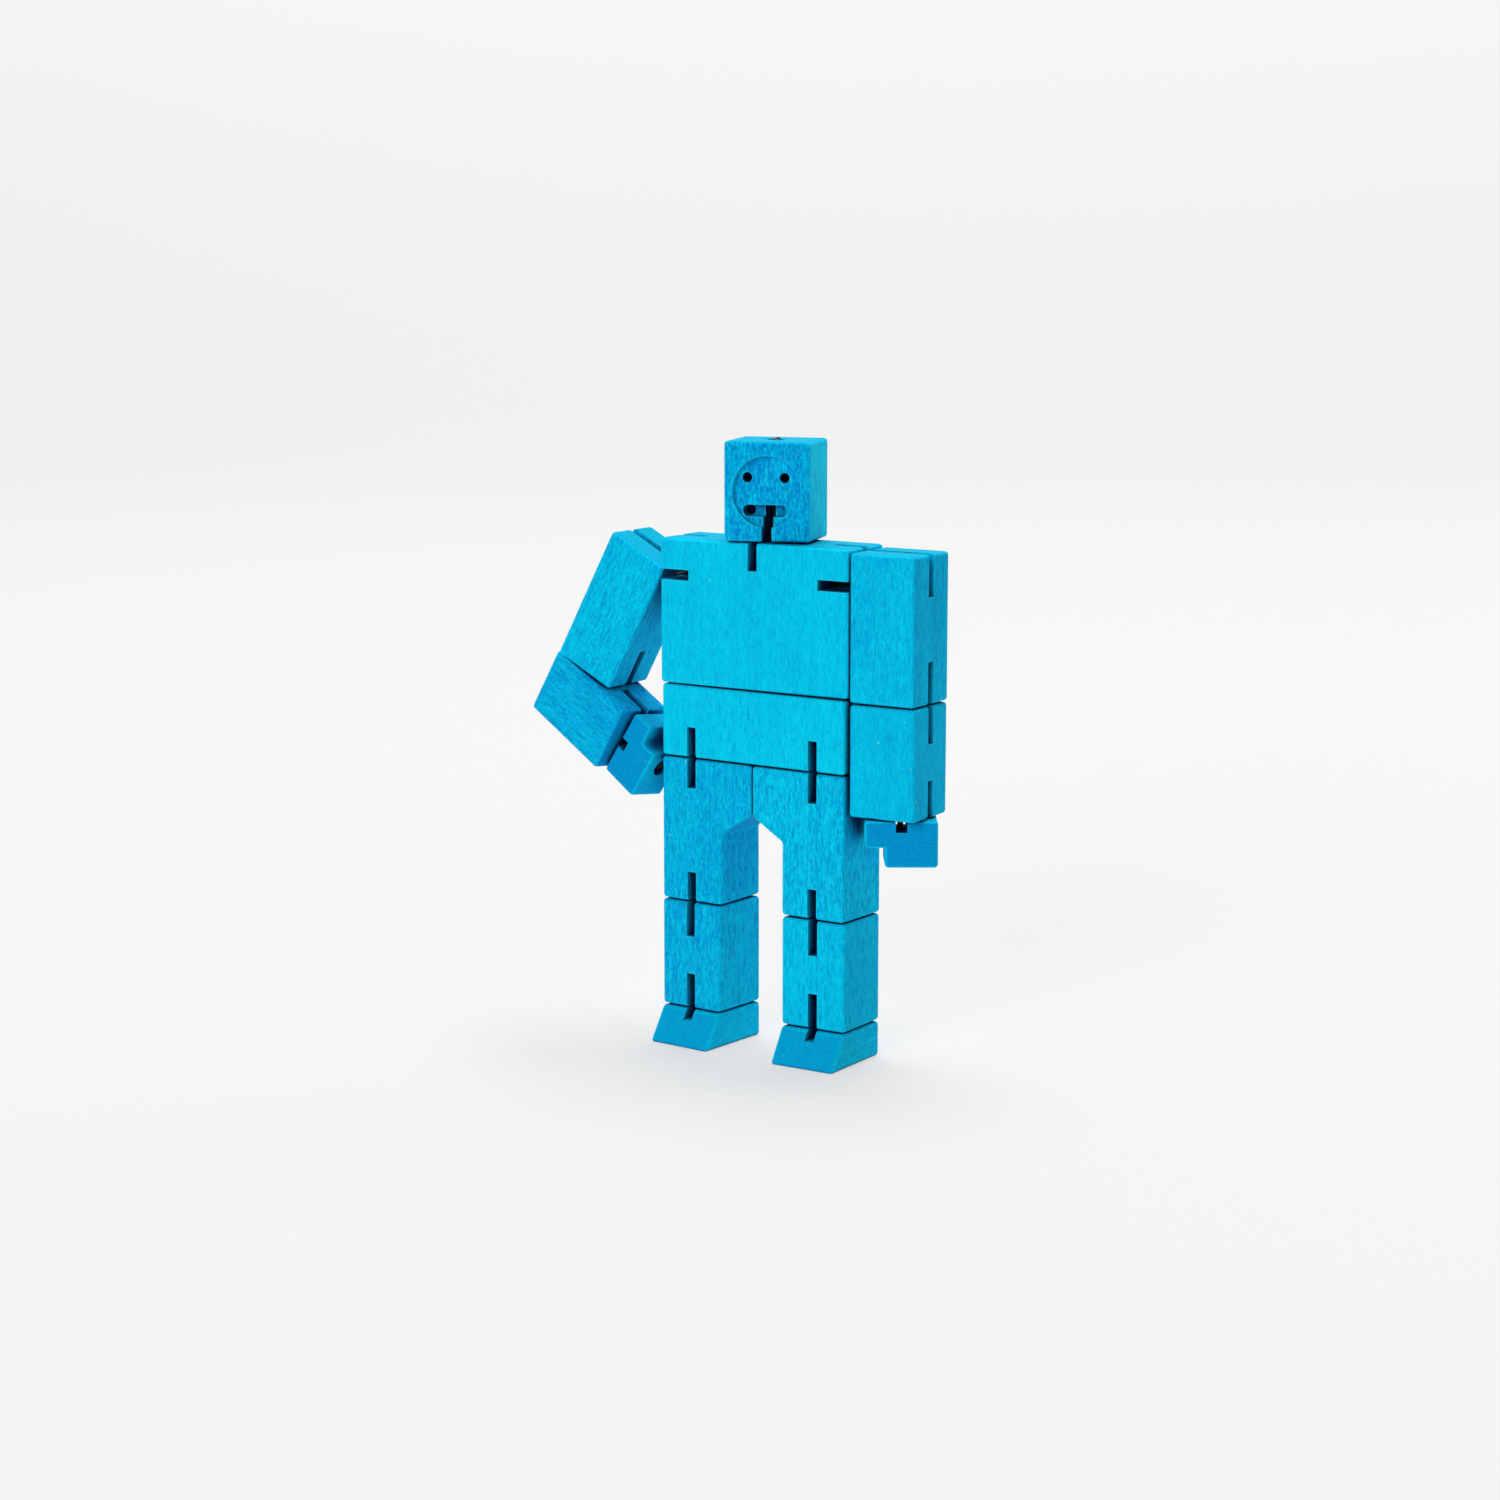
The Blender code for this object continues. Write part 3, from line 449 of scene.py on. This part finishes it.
# Shade of each block, the painted light and shade on its flanks, its flecks and specks, in the
# order of BLOCK_TURNS
WOOD_LOOKS = {
    "chest": (0.1, 0.0, 0.5, 0.1), "pelvis": (0.17, 0.0, 0.7, 0.3),
    "head": (-0.27, 0.55, 1.8, 0.1),
    "left_upper_arm": (-0.04, -0.1, 0.8, 0.2), "left_forearm": (-0.04, -0.05, 0.6, 1.0),
    "left_hand": (0.0, 0.0, 0.3, 0.1), "right_upper_arm": (-0.03, 0.05, 1.2, 0.2),
    "right_forearm": (-0.24, 0.0, 1.3, 0.2), "right_hand": (0.0, 0.0, 0.3, 0.1),
    "left_thigh": (-0.02, 0.0, 1.4, 0.3), "right_thigh": (-0.17, 0.1, 1.3, 0.2),
    "left_shin": (0.08, -0.15, 1.0, 0.3), "right_shin": (-0.2, 0.22, 1.2, 0.2),
    "left_foot": (0.0, 0.0, 0.6, 0.1), "right_foot": (0.0, 0.0, 0.6, 0.1),
}


def paint_wood():
    group = wood_group()
    for number, (name, look) in enumerate(WOOD_LOOKS.items()):
        obj = frame["nodes"][name]
        material = wood_material(name, group, number, *look)
        for slot in obj.material_slots:
            slot.material = material


# Cords --------------------------------------------------------------------------------
def tube(name, points, radius, material):
    """A cord along the points, with rounded ends and UVs that follow its braid."""
    points = smooth_path([Vector(p) for p in points])
    sides = 12
    bm = bmesh.new()
    uv_layer = bm.loops.layers.uv.new("UVMap")
    rings, run, lengths = [], 0.0, []
    side = None
    for i, point in enumerate(points):
        way = (points[min(i + 1, len(points) - 1)] - points[max(i - 1, 0)]).normalized()
        if side is None:
            side = way.orthogonal().normalized()
        side = (side - way * side.dot(way)).normalized()
        other = way.cross(side)
        if i:
            run += (point - points[i - 1]).length
        lengths.append(run / BRAID_LENGTH)
        swell = 1 + BRAID_SWELL * math.sin(run * BRAID_RIPPLE)
        rings.append([bm.verts.new(point + (side * math.cos(a) + other * math.sin(a))
                                   * radius * swell)
                      for a in (2 * math.pi * k / sides for k in range(sides))])
    for i in range(len(rings) - 1):
        for k in range(sides):
            after = (k + 1) % sides
            made = bm.faces.new((rings[i][k], rings[i][after],
                                 rings[i + 1][after], rings[i + 1][k]))
            corners = ((k, i), (k + 1, i), (k + 1, i + 1), (k, i + 1))
            for loop, (u, v) in zip(made.loops, corners):
                loop[uv_layer].uv = (u / sides, lengths[v])
    for ring, end in ((rings[0], points[0] - points[1]), (rings[-1], points[-1] - points[-2])):
        middle = sum((v.co for v in ring), Vector()) / sides
        tip = bm.verts.new(middle + end.normalized() * radius * CORD_TIP)
        for k in range(sides):
            bm.faces.new((ring[k], ring[(k + 1) % sides], tip))
    bmesh.ops.recalc_face_normals(bm, faces=bm.faces)
    mesh = bpy.data.meshes.new(name)
    bm.to_mesh(mesh)
    bm.free()
    mesh.shade_smooth()
    mesh.materials.append(material)
    obj = bpy.data.objects.new(name, mesh)
    bpy.context.scene.collection.objects.link(obj)
    return obj


def smooth_path(points, step=0.0004):
    """The points joined by a smooth line, sampled evenly."""
    if len(points) == 2:
        count = max(2, int((points[1] - points[0]).length / step))
        return [points[0].lerp(points[1], i / count) for i in range(count + 1)]
    path = []
    ends = [2 * points[0] - points[1]] + points + [2 * points[-1] - points[-2]]
    for a, b, c, d in zip(ends, ends[1:], ends[2:], ends[3:]):
        count = max(2, int((c - b).length / step))
        for i in range(count):
            t = i / count
            path.append(0.5 * (2 * b + (c - a) * t + (2 * a - 5 * b + 4 * c - d) * t * t
                               + (3 * b - a - 3 * c + d) * t ** 3))
    return path + [points[-1]]


def strand(nodes, points, body, until=None, radius=CORD_RADIUS):
    """A braided cord in place of these CAD cords. It rides body, or stands free and unattached
    where it runs from body to until.
    """
    points = [Vector(p) for p in points]
    name = nodes[0] if nodes else f"{body}_to_{until}"
    obj = tube(name + "_braid", points, radius, CORD)
    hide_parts(*nodes)
    if until:
        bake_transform(obj)
    else:
        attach(obj, body)


def tied_knot(node, body, axis):
    """A trefoil pulled tight, with the cord's two cut ends standing out along the axis."""
    low, high = (Vector(corner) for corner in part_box(node))
    centre, radius = (low + high) / 2, KNOT_RADIUS
    axis = Vector(axis).normalized()
    side = axis.orthogonal().normalized()
    turned = Matrix((side, axis.cross(side), axis)).transposed()
    path = []
    for i in range(48):
        t = 2 * math.pi * i / 48
        ring = radius * (0.38 + 0.2 * math.cos(3 * t))
        path.append(centre + turned @ Vector((ring * math.cos(2 * t), ring * math.sin(2 * t),
                                              0.34 * radius * math.sin(3 * t))))
    obj = tube(node + "_tied", path, radius * 0.4, CORD)
    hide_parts(node)
    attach(obj, body)
    for number, lean in enumerate((-1, 1)):
        foot = turned @ Vector((0.25 * lean * radius, 0.1 * radius, 0.1 * radius))
        tip = turned @ Vector((0.5 * lean * radius, 0.25 * radius, (0.75 + 0.1 * lean) * radius))
        end = tube(f"{node}_end_{number + 1}", [centre + foot, centre + tip], radius * 0.36, CORD)
        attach(end, body)


def string_legs():
    """A strand from each side of the pelvis down through thigh, shin and foot."""
    for side in ("left", "right"):
        low, high = (Vector(corner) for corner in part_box(side + "_thigh_cord"))
        x, y = (low.x + high.x) / 2, (low.y + high.y) / 2
        hip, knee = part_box("pelvis")[0].z, joint_at(side + "_knee_twist").z
        ankle = joint_at(side + "_ankle_twist").z
        at = [Vector((x, y, z)) for z in (
            hip + PELVIS_SLIT, hip - THIGH_SLIT, knee + THIGH_SLIT, knee - SHIN_SLIT,
            ankle + SHIN_SLIT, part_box(side + "_foot_knot")[1].z - 0.0002)]
        thigh, shin = side + "_thigh", side + "_shin"
        strand([], at[0:2], "pelvis", thigh)
        strand([side + "_thigh_cord"], at[1:3], thigh)
        strand([side + "_knee_cord"], at[2:4], thigh, side + "_knee")
        strand([side + "_shin_cord"], at[3:5], shin)
        strand([side + "_ankle_cord"], at[4:6], shin, side + "_ankle")
        tied_knot(side + "_foot_knot", side + "_foot", (0, 0, -1))


def string_torso():
    """The leg cord over the pelvis, the spine cord looped round it, the neck and its knot."""
    low, high = (Vector(corner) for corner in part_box("pelvis_cord"))
    top, start = high.z - CORD_RADIUS, low.z + PELVIS_SLIT
    turned = block_matrix("pelvis")
    half = [(UNIT, 0, start), (UNIT, 0, top - 0.0016), (UNIT - 0.0004, 0, top - 0.0005),
            (UNIT - 0.0016, 0, top)]
    route = [(-x, y, z) for x, y, z in half] + half[::-1]
    strand(["pelvis_cord"], [MIDDLE + turned @ Vector(p) for p in route], "pelvis")
    low, high = (Vector(corner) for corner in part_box("spine_loop"))
    ring, centre = (high.z - low.z) / 2 - LOOP_RADIUS, (low + high) / 2
    turns = [math.radians(-150 + 20 * i) for i in range(16)]
    strand(["spine_loop"], [centre + Vector((0, ring * math.sin(a), -ring * math.cos(a)))
                            for a in turns], "pelvis", radius=LOOP_RADIUS)

    x, y, top = MIDDLE.x, MIDDLE.y, CHEST_HIGH.z
    bypass = y + CORD_RADIUS + SPINE_RADIUS + CORD_GAP
    arm = top - ARM_CORD_DROP
    neck = joint_at("neck_twist")
    low_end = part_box("spine_cord")[0].z
    strand(["spine_cord"], [(x, y, low_end), (x, y, arm - 0.004), (x, bypass, arm - 0.0012),
                            (x, bypass, arm + 0.001), (neck.x, neck.y, top - NECK_LEAD)],
           "chest", radius=SPINE_RADIUS)
    knot_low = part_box("head_knot")[0].z
    inside = neck + Vector((0, 0, HEAD_SLIT))
    strand([], [neck - Vector((0, 0, NECK_LEAD)), neck], "chest", "neck", radius=SPINE_RADIUS)
    strand(["neck_cord"], [neck, inside], "neck", "head", radius=SPINE_RADIUS)
    strand(["head_cord"], [inside, (inside.x, inside.y, knot_low + 0.0003)], "head",
           radius=SPINE_RADIUS)
    tied_knot("head_knot", "head", (0, 0, 1))


def arm_frames(side):
    """The own axes of an upper arm and a forearm, from the middle of each one's top, and of a
    hand, from the middle of its knot."""
    sign = 1 if side == "left" else -1
    turns = [block_matrix(f"{side}_{part}").to_4x4() for part in ("upper_arm", "forearm", "hand")]
    half = ARM_WIDTH / 2
    upper = Matrix.Translation(joint_at(side + "_shoulder_fold")) @ turns[0]
    upper @= Matrix.Translation((sign * half, 0, 0))
    shift = -half if side == "right" else -half - ELBOW_ROCK
    lower = Matrix.Translation(joint_at(side + "_elbow_fold")) @ turns[1]
    lower @= Matrix.Translation((shift, 0, 0))
    low, high = (Vector(corner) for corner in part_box(side + "_hand_knot"))
    return upper, lower, Matrix.Translation((low + high) / 2) @ turns[2]


def string_arms():
    """From the chest's cross bore out to each hand's knot."""
    for side, sign in (("left", 1), ("right", -1)):
        upper, lower, hand = arm_frames(side)
        z = joint_at(side + "_shoulder_swing").z
        slit_end = MIDDLE.x + sign * (1.5 * UNIT - SHOULDER_SLIT)
        start = Vector((MIDDLE.x + sign * 0.0003, MIDDLE.y, z))
        y = joint_at(side + "_shoulder_fold").y
        bend = upper @ Vector((-sign * 0.001, 0, 0.0014 - UPPER_ARM_SLIT))
        turn_in = upper @ Vector((0, 0, -0.0006 - UPPER_ARM_SLIT))
        out = Vector((slit_end, y, z))
        reach = out.lerp(bend, 0.62 if side == "left" else 0.55)
        strand([side + "_chest_cord", side + "_shoulder_cord"], [start, out, reach],
               side + "_shoulder")
        elbow = upper @ Vector((0, 0, UPPER_ARM_SLIT - UPPER_ARM_LENGTH))
        strand([side + "_upper_arm_cord"], [reach, bend, turn_in, elbow], side + "_upper_arm")
        into = lower @ Vector((0, 0, -FOREARM_SLIT))
        wrist = lower @ Vector((0, 0, FOREARM_SLIT - FOREARM_LENGTH))
        if side == "left":
            strand(["left_elbow_cord"], [elbow, into], "left_upper_arm", "left_forearm")
        else:
            beyond = upper @ Vector((0, 0, -0.45 * UNIT - UPPER_ARM_LENGTH))
            strand(["right_elbow_cord", "right_elbow_loop"], [elbow, beyond], "right_elbow")
        strand([side + "_forearm_cord"], [into, wrist], side + "_forearm")
        palm = hand @ Vector((0, 0, KNOT_RADIUS * 0.7))
        top = (hand.inverted() @ joint_at(side + "_wrist_fold")).z
        mouth = hand @ Vector((0, 0, top - HAND_SLIT))
        turning = "left_wrist" if side == "left" else "right_hand"
        strand([side + "_wrist_cord"], [wrist, mouth], side + "_forearm", turning)
        strand([side + "_hand_cord"], [mouth, palm], turning)
        tied_knot(side + "_hand_knot", side + "_hand", hand.to_3x3() @ Vector((0, 0, -1)))


CORD = cord_material()
add_studio(*add_camera())
paint_wood()
string_torso()
string_legs()
string_arms()
